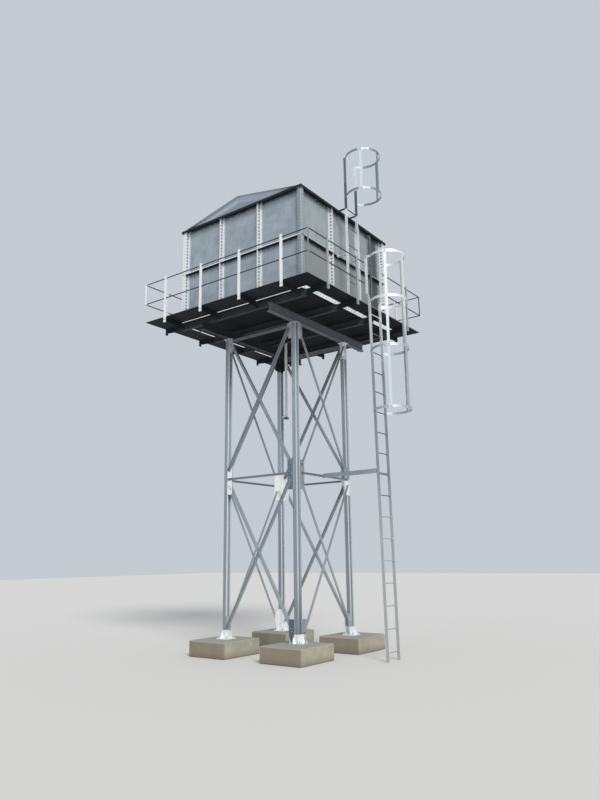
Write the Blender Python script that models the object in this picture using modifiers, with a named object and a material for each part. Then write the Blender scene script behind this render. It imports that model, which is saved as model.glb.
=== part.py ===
# Water tower: a bolted sheet steel tank on four braced steel legs, with a
# railed walkway round it, a caged ladder from the ground and one up the tank.
# Metres, +Z up. Front is -Y, back is +Y, left is -X, and right, where the
# ladders are, is +X. The sizes and places below are from the point on the ground
# midway between the legs. The last step moves the whole tower so that the origin
# is the middle of the ground it takes up, its ladder cage included.
import math

import bmesh
import bpy
from mathutils import Matrix, Vector

# Clearance between pieces that touch
GAP = 0.0003
# How far pieces of one weldment run into each other
WELD = 0.003

# Concrete plinths
PLINTH_SIDE = 0.90
PLINTH_LENGTH = 1.00
PLINTH_SHIFT = 0.040
PLINTH_HEIGHT = 0.29
PLINTH_CHAMFER = 0.015

# Legs: wide flange sections with a base plate, a cap plate and gussets
LEG_SPACING = 1.72
LEG_LENGTH = 5.97
LEG_SECTION = 0.10
LEG_FLANGE = 0.010
LEG_WEB = 0.008
BASE_PLATE_SIDE = 0.26
BASE_PLATE_THICK = 0.016
CAP_PLATE_SIDE = 0.16
CAP_PLATE_THICK = 0.012
GUSSET_THICK = 0.010
GUSSET_REACH = 0.165
GUSSET_LAP = 0.012
BASE_GUSSET_HEIGHT = 0.42
BASE_WING_HEIGHT = 0.16
MID_GUSSET_ABOVE = 0.25
MID_GUSSET_BELOW = 0.30
TOP_GUSSET_HEIGHT = 0.32

# Bracing of equal angles; heights are from the plinth top
MID_LEVEL = 3.02
BRACE_SIDE = 0.050
BRACE_THICK = 0.006
BRACE_END = 0.085
BRACE_BASE_RISE = 0.19
BRACE_BELOW_MID = 0.12
BRACE_ABOVE_MID = 0.16
BRACE_BELOW_TOP = 0.12
PACKER_RADIUS = 0.024
MID_STRUT_SIDE = 0.040
MID_STRUT_THICK = 0.005
TOP_STRUT_SIDE = 0.065
TOP_STRUT_THICK = 0.006
TOP_STRUT_DROP = 0.035

# Main girders over the legs, and the cross beams on them under the tank
GIRDER_DEPTH = 0.175
GIRDER_WIDTH = 0.090
GIRDER_FLANGE = 0.009
GIRDER_WEB = 0.007
GIRDER_LENGTH = 3.32
BEAM_DEPTH = 0.125
BEAM_WIDTH = 0.075
BEAM_FLANGE = 0.008
BEAM_WEB = 0.006
BEAM_LENGTH = 3.24

# Tank of square sheet panels with flanges turned outwards
PANEL = 1.00
PANELS_PER_SIDE = 3
LOWER_TIER = 1.08
UPPER_TIER = 1.005
SHEET = 0.006
FLANGE_REACH = 0.075
UPRIGHT_FLANGE = 0.016
LEVEL_FLANGE = 0.024
EDGE_FLANGE = 0.012
RIM_HEIGHT = 0.080
RIM_THICK = 0.008
FLOOR_THICK = 0.012
FLOOR_MARGIN = 0.08
SOCKET_BORE = 0.050
SOCKET_RING = 0.090
SOCKET_LENGTH = 0.020
SOCKET_DROP = 0.085

# Low gabled roof, its ridge running from front to back
ROOF_RISE = 0.30
ROOF_SHEET = 0.008
ROOF_MARGIN = 0.10
GABLE_THICK = 0.006
GABLE_SETBACK = 0.060

# Walkway plates on tapered brackets, level with the tank floor and clear of it
DECK_THICK = 0.008
DECK_HALF = 2.085
DECK_END_GAP = 0.045
DECK_LADDER_GAP = 0.140
DECK_FAR_GAP = 0.070
BRACKET_THICK = 0.010
BRACKET_ROOT_DEPTH = 0.125
BRACKET_TIP_DEPTH = 0.085
CLIP_WIDTH = 0.060
CLIP_DEPTH = 0.125
CLIP_THICK = 0.008

# Handrails: posts bolted to the bracket ends, with two round rails
POST_WIDTH = 0.050
POST_THICK = 0.025
POST_BELOW = 0.125
POST_ABOVE = 0.870
TOP_RAIL = 0.820
MID_RAIL = 0.390
RAIL_RADIUS = 0.011

# Ladders of flat bar stiles and round rungs
LADDER_WIDTH = 0.390
LADDER_OFFSET = 0.060
STILE_WIDTH = 0.055
STILE_THICK = 0.010
RUNG_RADIUS = 0.010
RUNG_PITCH = 0.388
FIRST_RUNG = 0.150
LADDER_ABOVE_DECK = 0.960
LADDER_LEAN = 0.095
LADDER_FLARE = 0.080
FLARE_START = 0.050
FLARE_END = 0.170
TANK_LADDER_OFFSET = -0.155
TANK_LADDER_STANDOFF = 0.200
TANK_LADDER_ABOVE_ROOF = 1.095
TANK_RUNG_TOP = 0.050
TANK_CLIP_DROP = 0.047

# Cages of flat bar hoops and straps; hoop heights are from the deck or the roof edge
HOOP_RADIUS = 0.350
HOOP_WIDTH = 0.050
HOOP_THICK = 0.006
STRAP_ANGLE = 66.0
HOOP_LEVELS = (-2.130, -0.950, 0.020, 0.930)
TANK_HOOP_LEVELS = (0.200, 1.060)

# Arm from the bracing to the ladder
ARM_DEPTH = 0.080
ARM_THICK = 0.030
ARM_BAR_DEPTH = 0.025
ARM_BAR_DROP = 0.027

# Pipes
OUTLET_RADIUS = 0.030
OUTLET_LENGTH = 1.790
OUTLET_X = -0.600
OUTLET_Y = 0.740
FITTING_RADIUS = 0.055
FITTING_LENGTH = 0.030
BRANCH_RADIUS = 0.036
BRANCH_RISE = 0.070
BRANCH_END_X = -0.718
BRANCH_END_Y = 0.795
OVERFLOW_RADIUS = 0.024
OVERFLOW_Y = 0.860
OVERFLOW_DROP = 0.110
OVERFLOW_BEND = 0.055
OVERFLOW_CLEAR = 0.015
PIPE_SIDES = 12
RAIL_SIDES = 8
ARC_STEPS = 24

# Levels, worked up from the ground
plinthTop = PLINTH_HEIGHT
legFoot = plinthTop + GAP
legTop = legFoot + LEG_LENGTH
midLevel = legFoot + MID_LEVEL
girderFoot = legTop + GAP
girderTop = girderFoot + GIRDER_DEPTH
beamFoot = girderTop + GAP
beamTop = beamFoot + BEAM_DEPTH
floorFoot = beamTop + GAP
floorTop = floorFoot + FLOOR_THICK
wallFoot = floorTop + GAP
wallMid = wallFoot + LOWER_TIER
wallTop = wallMid + UPPER_TIER
roofFoot = wallTop + GAP
deckTop = floorTop
deckFoot = deckTop - DECK_THICK

# Places across the plan
legLine = LEG_SPACING / 2
gussetPlane = legLine + LEG_SECTION / 2
tankHalf = PANEL * PANELS_PER_SIDE / 2
flangeTip = tankHalf + FLANGE_REACH
floorHalf = tankHalf + FLOOR_MARGIN
roofHalf = tankHalf + ROOF_MARGIN
deckEndInner = floorHalf + DECK_END_GAP
deckLadderInner = floorHalf + DECK_LADDER_GAP
deckFarInner = floorHalf + DECK_FAR_GAP
deckHalf = DECK_HALF
railLine = deckHalf + GAP + POST_THICK / 2
panelLines = [PANEL * i - tankHalf for i in range(PANELS_PER_SIDE + 1)]
beamLines = panelLines
stileX = railLine + RAIL_RADIUS + GAP + STILE_WIDTH / 2
tankStileX = flangeTip + TANK_LADDER_STANDOFF + STILE_WIDTH / 2
cageChord = LADDER_WIDTH / 2 + STILE_THICK / 2 + GAP + HOOP_THICK / 2
cageDepth = math.sqrt(HOOP_RADIUS ** 2 - cageChord ** 2) + STILE_WIDTH / 2 - HOOP_THICK
leftEdge = -railLine - POST_THICK / 2
rightEdge = stileX + cageDepth + HOOP_RADIUS + HOOP_THICK / 2

CORNERS = {
    "front_left": (-1, -1),
    "front_right": (1, -1),
    "back_right": (1, 1),
    "back_left": (-1, 1),
}
SIDES = {"front": 0.0, "right": 90.0, "back": 180.0, "left": 270.0}


def clear_scene():
    for item in list(bpy.data.objects):
        bpy.data.objects.remove(item, do_unlink=True)


def make_collection(name):
    collection = bpy.data.collections.new(name)
    bpy.context.scene.collection.children.link(collection)
    return collection


def make_material(name, colour, roughness, metallic):
    material = bpy.data.materials.new(name)
    material.use_nodes = True
    shader = material.node_tree.nodes["Principled BSDF"]
    shader.inputs["Base Color"].default_value = (*colour, 1.0)
    shader.inputs["Roughness"].default_value = roughness
    shader.inputs["Metallic"].default_value = metallic
    material.diffuse_color = (*colour, 1.0)
    return material


def new_piece(mesh):
    piece = bpy.data.objects.new("piece", mesh)
    tower.objects.link(piece)
    return piece


def from_bmesh(shape):
    mesh = bpy.data.meshes.new("piece")
    shape.to_mesh(mesh)
    shape.free()
    return new_piece(mesh)


def box(x, y, z):
    """A block between two x, two y and two z values."""
    shape = bmesh.new()
    bmesh.ops.create_cube(shape, size=1.0)
    size = Matrix.Diagonal((x[1] - x[0], y[1] - y[0], z[1] - z[0], 1.0))
    middle = Vector((x[0] + x[1], y[0] + y[1], z[0] + z[1])) / 2
    bmesh.ops.transform(shape, matrix=Matrix.Translation(middle) @ size, verts=shape.verts)
    return from_bmesh(shape)


def rod(start, end, radius, sides):
    """A round bar from one point to another."""
    start = Vector(start)
    end = Vector(end)
    along = end - start
    shape = bmesh.new()
    bmesh.ops.create_cone(
        shape, cap_ends=True, segments=sides,
        radius1=radius, radius2=radius, depth=along.length,
    )
    turn = along.to_track_quat("Z", "Y").to_matrix().to_4x4()
    place = Matrix.Translation((start + end) / 2) @ turn
    bmesh.ops.transform(shape, matrix=place, verts=shape.verts)
    return from_bmesh(shape)


def solid_from_curve(curve, place):
    """The closed mesh of a curve, moved to its place."""
    guide = bpy.data.objects.new("curve", curve)
    tower.objects.link(guide)
    mesh = bpy.data.meshes.new_from_object(guide.evaluated_get(bpy.context.evaluated_depsgraph_get()))
    bpy.data.objects.remove(guide, do_unlink=True)
    shape = bmesh.new()
    shape.from_mesh(mesh)
    bmesh.ops.remove_doubles(shape, verts=shape.verts, dist=0.00001)
    bmesh.ops.transform(shape, matrix=place, verts=shape.verts)
    if place.determinant() < 0:
        bmesh.ops.reverse_faces(shape, faces=shape.faces)
    return from_bmesh(shape)


def plate(points, thickness, origin, across, up):
    """A flat outline in the across and up directions, thickened evenly to both sides of origin."""
    curve = bpy.data.curves.new("outline", "CURVE")
    curve.dimensions = "2D"
    curve.fill_mode = "BOTH"
    curve.extrude = thickness / 2
    spline = curve.splines.new("POLY")
    spline.points.add(len(points) - 1)
    for point, (u, v) in zip(spline.points, points):
        point.co = (u, v, 0.0, 1.0)
    spline.use_cyclic_u = True
    across = Vector(across)
    up = Vector(up)
    place = Matrix((across, up, across.cross(up))).transposed().to_4x4()
    place.translation = Vector(origin)
    return solid_from_curve(curve, place)


def pipe(points, radius, sides):
    """A round pipe along a list of points, with closed ends."""
    curve = bpy.data.curves.new("route", "CURVE")
    curve.dimensions = "3D"
    curve.bevel_depth = radius
    curve.bevel_resolution = sides // 2 - 2
    curve.use_fill_caps = True
    spline = curve.splines.new("POLY")
    spline.points.add(len(points) - 1)
    for point, place in zip(spline.points, points):
        point.co = (*place, 1.0)
    return solid_from_curve(curve, Matrix.Identity(4))


def join(name, pieces, material, cutters=(), location=(0.0, 0.0, 0.0)):
    """One named solid from pieces that run into each other, less its cutters."""
    base = pieces[0]
    if len(pieces) > 1:
        group = make_collection("pieces of " + name)
        for piece in pieces[1:]:
            group.objects.link(piece)
        union = base.modifiers.new("union", "BOOLEAN")
        union.operation = "UNION"
        union.operand_type = "COLLECTION"
        union.collection = group
        union.solver = "EXACT"
    for cutter in cutters:
        cut = base.modifiers.new("cut", "BOOLEAN")
        cut.operation = "DIFFERENCE"
        cut.object = cutter
        cut.solver = "EXACT"
    bpy.context.view_layer.update()
    mesh = bpy.data.meshes.new_from_object(base.evaluated_get(bpy.context.evaluated_depsgraph_get()))
    for piece in list(pieces) + list(cutters):
        bpy.data.objects.remove(piece, do_unlink=True)
    if len(pieces) > 1:
        bpy.data.collections.remove(group)
    mesh.name = name
    mesh.materials.clear()
    mesh.materials.append(material)
    return place_copy(name, mesh, location)


def place_copy(name, mesh, location=(0.0, 0.0, 0.0), turn=0.0):
    """A named object that uses the mesh at a place, turned in degrees about the upright."""
    item = bpy.data.objects.new(name, mesh)
    item.location = location
    item.rotation_euler = (0.0, 0.0, math.radians(turn))
    tower.objects.link(item)
    return item


def i_section(depth, width, flange, web):
    """Outline of an I section, its depth along the second direction."""
    d = depth / 2
    w = width / 2
    t = web / 2
    right = [(t, -d + flange), (w, -d + flange), (w, -d)]
    top = [(w, d), (w, d - flange), (t, d - flange)]
    left = [(-t, d - flange), (-w, d - flange), (-w, d)]
    foot = [(-w, -d), (-w, -d + flange), (-t, -d + flange)]
    return foot + left + top + right


def angle_bar(start, end, side, thick, flat, out):
    """An equal angle from start to end: one leg lies along flat, centred, the other stands along out."""
    start = Vector(start)
    end = Vector(end)
    half = side / 2
    outline = [
        (-half, 0.0), (half, 0.0), (half, side),
        (half - thick, side), (half - thick, thick), (-half, thick),
    ]
    return plate(outline, (end - start).length, (start + end) / 2, flat, out)


def make_plinths():
    half = PLINTH_SIDE / 2
    reach = PLINTH_LENGTH / 2
    block = box((-half, half), (-reach, reach), (0.0, PLINTH_HEIGHT))
    bevel = block.modifiers.new("chamfer", "BEVEL")
    bevel.width = PLINTH_CHAMFER
    bevel.segments = 1
    bevel.limit_method = "ANGLE"
    mesh = None
    for corner, (sx, sy) in CORNERS.items():
        spot = (sx * legLine, sy * (legLine + PLINTH_SHIFT), 0.0)
        if mesh is None:
            mesh = join("plinth_" + corner, [block], concrete, location=spot).data
        else:
            place_copy("plinth_" + corner, mesh, spot)


def leg_gussets(flat, out):
    """The base, middle and top plates on one face of a leg, each lapped on its near flange.
    Flat points to the next leg."""
    half = LEG_SECTION / 2
    wing = BASE_PLATE_SIDE / 2 - GUSSET_THICK
    foot = BASE_PLATE_THICK - WELD
    reach = GUSSET_REACH
    slope = reach - half
    top = BASE_GUSSET_HEIGHT
    start = half - GUSSET_LAP
    base = [
        (-wing, foot), (wing, foot), (reach, BASE_WING_HEIGHT), (reach, top),
        (start, top), (start, BASE_WING_HEIGHT), (-half, BASE_WING_HEIGHT),
    ]
    low = MID_LEVEL - MID_GUSSET_BELOW
    high = MID_LEVEL + MID_GUSSET_ABOVE
    middle = [(start, low), (reach, low), (reach, high), (start, high)]
    crown = LEG_LENGTH - CAP_PLATE_THICK + WELD
    low = LEG_LENGTH - TOP_GUSSET_HEIGHT
    head = [(start, low), (reach - slope / 2, low), (reach, low + slope), (reach - slope / 4, crown), (start, crown)]
    out = Vector(out)
    across = Vector(flat)
    spot = out * (half + GUSSET_THICK / 2 - WELD / 2)
    plates = []
    for outline in (base, middle, head):
        plates.append(plate(outline, GUSSET_THICK + WELD, spot, across, (0.0, 0.0, 1.0)))
    return plates


def base_wing(flat, out):
    """The tapered plate on a side of the leg that has no brace."""
    half = LEG_SECTION / 2
    wing = BASE_PLATE_SIDE / 2 - GUSSET_THICK
    foot = BASE_PLATE_THICK - WELD
    outline = [(-wing, foot), (wing, foot), (half, BASE_WING_HEIGHT), (-half, BASE_WING_HEIGHT)]
    spot = Vector(out) * (half + GUSSET_THICK / 2 - WELD / 2)
    return plate(outline, GUSSET_THICK + WELD, spot, flat, (0.0, 0.0, 1.0))


def make_legs():
    section = i_section(LEG_SECTION, LEG_SECTION, LEG_FLANGE, LEG_WEB)
    half = BASE_PLATE_SIDE / 2
    cap = CAP_PLATE_SIDE / 2
    body = LEG_LENGTH - BASE_PLATE_THICK - CAP_PLATE_THICK + 2 * WELD
    middle = (0.0, 0.0, BASE_PLATE_THICK - WELD + body / 2)
    for corner, (sx, sy) in CORNERS.items():
        column = plate(section, body, middle, (1.0, 0.0, 0.0), (0.0, 1.0, 0.0))
        pieces = [column, box((-half, half), (-half, half), (0.0, BASE_PLATE_THICK))]
        pieces.append(box((-cap, cap), (-cap, cap), (LEG_LENGTH - CAP_PLATE_THICK, LEG_LENGTH)))
        pieces += leg_gussets((-sx, 0.0, 0.0), (0.0, sy, 0.0))
        pieces += leg_gussets((0.0, -sy, 0.0), (sx, 0.0, 0.0))
        pieces.append(base_wing((1.0, 0.0, 0.0), (0.0, -sy, 0.0)))
        pieces.append(base_wing((0.0, 1.0, 0.0), (-sx, 0.0, 0.0)))
        spot = (sx * legLine, sy * legLine, legFoot)
        join("leg_" + corner, pieces, zinc, location=spot)


def cross_brace(name, low, high):
    """A pair of crossing angles in the front face, held apart by a packer."""
    reach = legLine - BRACE_END
    rise = high - low
    length = math.hypot(2 * reach, rise)
    outer = -(gussetPlane + GUSSET_THICK + GAP)
    inner = -(gussetPlane - WELD - GAP)
    pieces = []
    for side, y, out in ((1, outer, -1.0), (-1, inner, 1.0)):
        flat = Vector((-side * rise / length, 0.0, 2 * reach / length))
        start = (-side * reach, y, low)
        end = (side * reach, y, high)
        pieces.append(angle_bar(start, end, BRACE_SIDE, BRACE_THICK, flat, (0.0, out, 0.0)))
    middle = (low + high) / 2
    pack = rod((0.0, outer - WELD, middle), (0.0, inner + WELD, middle), PACKER_RADIUS, PIPE_SIDES)
    return join(name, [pieces[0], pack, pieces[1]], zinc)


def make_bracing():
    tiers = {
        "lower_bracing_": (legFoot + BRACE_BASE_RISE, midLevel - BRACE_BELOW_MID),
        "upper_bracing_": (midLevel + BRACE_ABOVE_MID, legTop - BRACE_BELOW_TOP),
    }
    for prefix, (low, high) in tiers.items():
        first = cross_brace(prefix + "front", low, high)
        copy_round(first, prefix)
    reach = legLine - LEG_SECTION / 2 - BRACE_THICK
    y = -(gussetPlane + GUSSET_THICK + GAP)
    strut = angle_bar(
        (-reach, y, midLevel), (reach, y, midLevel),
        MID_STRUT_SIDE, MID_STRUT_THICK, (0.0, 0.0, 1.0), (0.0, -1.0, 0.0),
    )
    first = join("mid_strut_front", [strut], zinc)
    copy_round(first, "mid_strut_")
    level = legTop - TOP_STRUT_DROP - TOP_STRUT_SIDE / 2
    y = -(gussetPlane - WELD - GAP)
    strut = angle_bar(
        (-reach, y, level), (reach, y, level),
        TOP_STRUT_SIDE, TOP_STRUT_THICK, (0.0, 0.0, 1.0), (0.0, 1.0, 0.0),
    )
    first = join("top_strut_front", [strut], zinc)
    place_copy("top_strut_back", first.data, turn=SIDES["back"])


def copy_round(first, prefix):
    for side, turn in SIDES.items():
        if side != "front":
            place_copy(prefix + side, first.data, turn=turn)


def make_beams():
    outline = i_section(GIRDER_DEPTH, GIRDER_WIDTH, GIRDER_FLANGE, GIRDER_WEB)
    bar = plate(outline, GIRDER_LENGTH, (0.0, 0.0, GIRDER_DEPTH / 2), (1.0, 0.0, 0.0), (0.0, 0.0, 1.0))
    first = join("girder_left", [bar], primer, location=(-legLine, 0.0, girderFoot))
    place_copy("girder_right", first.data, (legLine, 0.0, girderFoot))
    outline = i_section(BEAM_DEPTH, BEAM_WIDTH, BEAM_FLANGE, BEAM_WEB)
    bar = plate(outline, BEAM_LENGTH, (0.0, 0.0, BEAM_DEPTH / 2), (0.0, 1.0, 0.0), (0.0, 0.0, 1.0))
    mesh = join("cross_beam_1", [bar], primer, location=(0.0, beamLines[0], beamFoot)).data
    for number, y in enumerate(beamLines[1:], start=2):
        place_copy("cross_beam_%d" % number, mesh, (0.0, y, beamFoot))


def make_floor():
    half = floorHalf
    join("tank_floor", [box((-half, half), (-half, half), (floorFoot, floorTop))], zinc)


def wall_pieces(ends):
    """Sheet, flanges and foot rim of the front wall. Ends is how far its level flanges reach past the sheet."""
    half = tankHalf - GAP
    reach = half + ends
    rim = wallFoot + RIM_HEIGHT
    root = -tankHalf + WELD
    face = -(tankHalf + SHEET)
    tip = -flangeTip
    pieces = [box((-half, half), (face, -tankHalf), (wallFoot, wallTop))]
    levels = [
        (rim - EDGE_FLANGE, rim),
        (wallMid - LEVEL_FLANGE / 2, wallMid + LEVEL_FLANGE / 2),
        (wallTop - EDGE_FLANGE, wallTop),
    ]
    for level in levels:
        pieces.append(box((-reach, reach), (tip, face + WELD), level))
    skirt = (wallFoot, rim - EDGE_FLANGE / 2)
    pieces.append(box((-reach, reach), (tip, tip + RIM_THICK), skirt))
    if ends > 0:
        for low, high in ((-reach, RIM_THICK - reach), (reach - RIM_THICK, reach)):
            pieces.append(box((low, high), (tip, -tankHalf - GAP), skirt))
    thick = UPRIGHT_FLANGE / 2
    for x in panelLines:
        x = min(max(x, -half + thick), half - thick)
        upright = (rim - EDGE_FLANGE / 2, wallTop - EDGE_FLANGE / 2)
        pieces.append(box((x - thick, x + thick), (tip + WELD, root - SHEET), upright))
    return pieces


def make_walls():
    first = join("tank_wall_front", wall_pieces(FLANGE_REACH), zinc)
    place_copy("tank_wall_back", first.data, turn=SIDES["back"])
    side = join("tank_wall_left", wall_pieces(-GAP), zinc)
    side.rotation_euler.z = math.radians(SIDES["left"])
    x = -PANEL
    z = wallTop - SOCKET_DROP
    face = -(tankHalf + SHEET)
    ring = rod((x, face + WELD, z), (x, face - SOCKET_LENGTH, z), SOCKET_RING / 2, PIPE_SIDES)
    hole = rod((x, face, z), (x, face - 2 * SOCKET_LENGTH, z), SOCKET_BORE / 2, PIPE_SIDES)
    wall = join("tank_wall_right", wall_pieces(-GAP) + [ring], zinc, cutters=[hole])
    wall.rotation_euler.z = math.radians(SIDES["right"])


def make_roof():
    slope = ROOF_RISE / tankHalf
    lift = ROOF_SHEET * math.hypot(1.0, slope)
    low = roofFoot
    ridge = roofFoot + ROOF_RISE
    outline = [
        (-roofHalf, low), (-tankHalf, low), (0.0, ridge), (tankHalf, low), (roofHalf, low),
        (roofHalf, low + lift), (tankHalf, low + lift), (0.0, ridge + lift),
        (-tankHalf, low + lift), (-roofHalf, low + lift),
    ]
    sheet = plate(outline, 2 * roofHalf, (0.0, 0.0, 0.0), (1.0, 0.0, 0.0), (0.0, 0.0, 1.0))
    join("roof", [sheet], sheet_metal)
    reach = tankHalf - GAP / slope
    half = GABLE_THICK / 2
    outline = [(-reach, 0.0), (reach, 0.0), (0.0, reach * slope)]
    y = -(roofHalf - GABLE_SETBACK)
    gable = plate(outline, GABLE_THICK, (0.0, half, 0.0), (1.0, 0.0, 0.0), (0.0, 0.0, 1.0))
    first = join("gable_front", [gable], sheet_metal, location=(0.0, y, roofFoot))
    place_copy("gable_back", first.data, (0.0, -y, roofFoot), SIDES["back"])


def bracket(place, root, inner):
    """A tapered plate under the front walkway at x = place, which stays below the floor as far as inner."""
    top = deckFoot + WELD
    low = deckFoot - BRACKET_ROOT_DEPTH
    tip = deckHalf
    under = floorFoot - GAP
    outline = [(root, low), (tip, deckFoot - BRACKET_TIP_DEPTH), (tip, top), (inner, top), (inner, under), (root, under)]
    rib = plate(outline, BRACKET_THICK, (place, 0.0, 0.0), (0.0, -1.0, 0.0), (0.0, 0.0, 1.0))
    half = CLIP_WIDTH / 2
    clip = box((place - half, place + half), (-tip, -tip + CLIP_THICK), (deckFoot - CLIP_DEPTH, top))
    return [rib, clip]


def make_walkways():
    front = [box((-deckHalf, deckHalf), (-deckHalf, -deckEndInner), (deckFoot, deckTop))]
    for x in panelLines:
        front += bracket(x, tankHalf + BEAM_WIDTH / 2 + GAP, deckEndInner)
    first = join("walkway_front", front, plate_steel)
    place_copy("walkway_back", first.data, turn=SIDES["back"])
    half = deckEndInner - GAP
    for name, inner in (("right", deckLadderInner), ("left", deckFarInner)):
        side = [box((-half, half), (-deckHalf, -inner), (deckFoot, deckTop))]
        for x in panelLines:
            side += bracket(x, BEAM_LENGTH / 2 + GAP, inner)
        second = join("walkway_" + name, side, plate_steel)
        second.rotation_euler.z = math.radians(SIDES[name])


def rail_post(x):
    half = POST_WIDTH / 2
    inner = -(deckHalf + GAP)
    return box((x - half, x + half), (inner - POST_THICK, inner), (deckTop - POST_BELOW, deckTop + POST_ABOVE))


def rails(low, high, y):
    pieces = []
    for level in (deckTop + TOP_RAIL, deckTop + MID_RAIL):
        pieces.append(rod((low, y, level), (high, y, level), RAIL_RADIUS, RAIL_SIDES))
    return pieces


def make_handrails():
    """Front and back rails carry the corner uprights, and the side rails end against them."""
    corner = railLine
    pieces = [rail_post(x) for x in panelLines] + rails(-corner, corner, -railLine)
    low = deckTop + MID_RAIL - RAIL_RADIUS
    high = deckTop + TOP_RAIL + RAIL_RADIUS
    for x in (-corner, corner):
        pieces.append(rod((x, -railLine, low), (x, -railLine, high), RAIL_RADIUS + 0.001, RAIL_SIDES))
    first = join("handrail_front", pieces, zinc)
    place_copy("handrail_back", first.data, turn=SIDES["back"])
    end = corner - RAIL_RADIUS - 0.001 - GAP
    whole = [rail_post(x) for x in panelLines] + rails(-end, end, -railLine)
    left = join("handrail_left", whole, zinc)
    left.rotation_euler.z = math.radians(SIDES["left"])
    near = LADDER_OFFSET - LADDER_WIDTH / 2 - LADDER_FLARE - STILE_THICK
    far = LADDER_OFFSET + LADDER_WIDTH / 2 + LADDER_FLARE + STILE_THICK
    posts = [rail_post(y) for y in panelLines if y < near]
    part = join("handrail_right_front", posts + rails(-end, near, -railLine), zinc)
    part.rotation_euler.z = math.radians(SIDES["right"])
    posts = [rail_post(panelLines[-1])]
    part = join("handrail_right_back", posts + rails(far, end, -railLine), zinc)
    part.rotation_euler.z = math.radians(SIDES["right"])


def ladder_shift(z, side):
    """How far a stile of the ground ladder leans out at its foot and spreads at its top."""
    lean = LADDER_LEAN * max(0.0, deckFoot - z) / deckFoot
    rise = (z - deckTop - FLARE_START) / (FLARE_END - FLARE_START)
    return lean, side * LADDER_FLARE * min(1.0, max(0.0, rise))


def bent_stile(side, x, y, low, high, bends, shift):
    """A flat bar on edge between two levels, moved at each level by shift."""
    bar = box(
        (x - STILE_WIDTH / 2, x + STILE_WIDTH / 2),
        (y - STILE_THICK / 2, y + STILE_THICK / 2), (low, high),
    )
    shape = bmesh.new()
    shape.from_mesh(bar.data)
    for level in bends:
        whole = shape.verts[:] + shape.edges[:] + shape.faces[:]
        bmesh.ops.bisect_plane(shape, geom=whole, plane_co=(0.0, 0.0, level), plane_no=(0.0, 0.0, 1.0))
    for vert in shape.verts:
        lean, spread = shift(vert.co.z, side)
        vert.co.x += lean
        vert.co.y += spread
    shape.to_mesh(bar.data)
    shape.free()
    return bar


def make_ground_ladder():
    top = deckTop + LADDER_ABOVE_DECK
    half = LADDER_WIDTH / 2
    bends = (deckFoot, deckTop + FLARE_START, deckTop + FLARE_END)
    pieces = []
    for side in (-1, 1):
        y = LADDER_OFFSET + side * half
        pieces.append(bent_stile(side, stileX, y, 0.0, top, bends, ladder_shift))
    level = FIRST_RUNG
    while level < deckFoot:
        lean = ladder_shift(level, 1)[0]
        start = (stileX + lean, LADDER_OFFSET - half, level)
        end = (stileX + lean, LADDER_OFFSET + half, level)
        pieces.append(rod(start, end, RUNG_RADIUS, RAIL_SIDES))
        level += RUNG_PITCH
    join("ground_ladder", pieces, zinc)


def no_shift(z, side):
    return 0.0, 0.0


def make_tank_ladder():
    top = wallTop + TANK_LADDER_ABOVE_ROOF
    foot = deckTop + GAP
    half = LADDER_WIDTH / 2
    pieces = []
    for side in (-1, 1):
        y = TANK_LADDER_OFFSET + side * half
        pieces.append(bent_stile(side, tankStileX, y, foot, top, (), no_shift))
        inner = tankStileX - STILE_WIDTH / 2 + WELD
        width = (y - STILE_WIDTH / 2, y + STILE_WIDTH / 2)
        back = flangeTip + GAP
        for top_edge in (wallTop, wallMid + LEVEL_FLANGE / 2):
            level = top_edge - TANK_CLIP_DROP
            pieces.append(box((back, inner), width, (level - HOOP_THICK, level)))
            pieces.append(box((back, back + HOOP_THICK), width, (level - HOOP_THICK, top_edge)))
    level = wallTop - TANK_RUNG_TOP
    while level > foot + RUNG_PITCH / 4:
        start = (tankStileX, TANK_LADDER_OFFSET - half, level)
        end = (tankStileX, TANK_LADDER_OFFSET + half, level)
        pieces.append(rod(start, end, RUNG_RADIUS, RAIL_SIDES))
        level -= RUNG_PITCH
    join("tank_ladder", pieces, zinc)


def hoop(level, centre, reach, tab_from):
    """A flat bar bent round the climber, ending in tabs against the outside of the stiles."""
    x, y = centre
    inner = reach + STILE_THICK / 2 + GAP
    line = inner + HOOP_THICK / 2
    sweep = math.pi - math.asin(line / HOOP_RADIUS)
    outside = []
    inside = []
    for i in range(ARC_STEPS + 1):
        turn = -sweep + 2 * sweep * i / ARC_STEPS
        for radius, points in (
            (HOOP_RADIUS + HOOP_THICK / 2, outside),
            (HOOP_RADIUS - HOOP_THICK / 2, inside),
        ):
            points.append((x + radius * math.cos(turn), y + radius * math.sin(turn)))
    outline = outside + inside[::-1]
    band = plate(outline, HOOP_WIDTH, (0.0, 0.0, level), (1.0, 0.0, 0.0), (0.0, 1.0, 0.0))
    end = x - math.sqrt(HOOP_RADIUS ** 2 - line ** 2) + HOOP_THICK
    pieces = [band]
    height = (level - HOOP_WIDTH / 2, level + HOOP_WIDTH / 2)
    for low, high in ((inner, inner + HOOP_THICK), (-inner - HOOP_THICK, -inner)):
        pieces.append(box((tab_from, end), (y + low, y + high), height))
    return pieces


def strap(centre, degrees, low, high):
    """An upright flat bar that runs down the inside of the hoops."""
    turn = math.radians(degrees)
    away = Vector((math.cos(turn), math.sin(turn), 0.0))
    along = Vector((-math.sin(turn), math.cos(turn), 0.0))
    half = HOOP_WIDTH / 2
    inner = HOOP_RADIUS - 1.2 * HOOP_THICK
    outline = [(inner - HOOP_THICK, -half), (inner + WELD, -half), (inner + WELD, half), (inner - HOOP_THICK, half)]
    middle = Vector((centre[0], centre[1], (low + high) / 2))
    return plate(outline, high - low, middle, away, along)


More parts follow.
